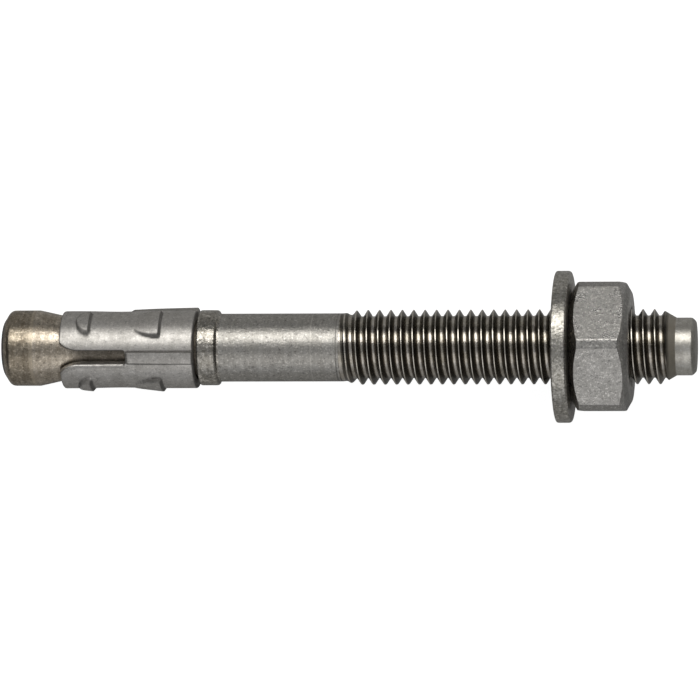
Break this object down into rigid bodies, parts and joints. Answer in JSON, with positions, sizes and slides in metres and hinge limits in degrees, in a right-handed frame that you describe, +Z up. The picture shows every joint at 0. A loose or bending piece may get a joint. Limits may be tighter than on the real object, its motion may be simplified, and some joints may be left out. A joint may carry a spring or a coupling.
{
  "type": "wedge anchor",
  "caption": "Stainless wedge anchor: threaded bolt with a cone end and dog point, expansion sleeve rolled round its neck, flat washer and hexagon nut.",
  "frame": {"origin": "on the floor under the middle of the anchor's box, as it lies at rest on the rims of its cone end and washer", "axes": "+X from the cone end towards the threaded end, level; +Z up; the bolt's own axis rises 3.69 degrees towards +X"},
  "size_m": [0.0914, 0.0198, 0.0199],
  "materials": {
    "bolt_steel": "cold formed, grainy, slightly warm",
    "sleeve_steel": "smooth rolled sheet",
    "washer_steel": "tumbled, rough sheared rim",
    "nut_steel": "fine grained, bright worn corners"
  },
  "bodies": {
    "bolt": {"anchor_bolt": "bolt_steel"},
    "sleeve": {"expansion_sleeve": "sleeve_steel"},
    "washer": {"washer": "washer_steel"},
    "nut": {"hex_nut": "nut_steel"}
  },
  "joints": [
    {"name": "sleeve_turn", "type": "hinge", "parent": "bolt", "child": "sleeve", "pos_m": [-0.02851, -0.00022, 0.00597], "axis": [0.9979, 0, 0.0643], "continuous": true},
    {"name": "nut_turn", "type": "hinge", "parent": "washer", "child": "nut", "pos_m": [0.03324, 0, 0.00995], "axis": [0.9979, 0, 0.0643], "range_deg": [-6482, 722]},
    {"name": "washer_slide", "type": "slide", "parent": "bolt", "child": "washer", "axis": [0.9979, 0, 0.0643], "range_m": [-0.027, 0.003]}
  ],
  "couplings": [
    {"joint": "nut_turn", "follows": "washer_slide", "rad_per_m": 4188.8}
  ]
}
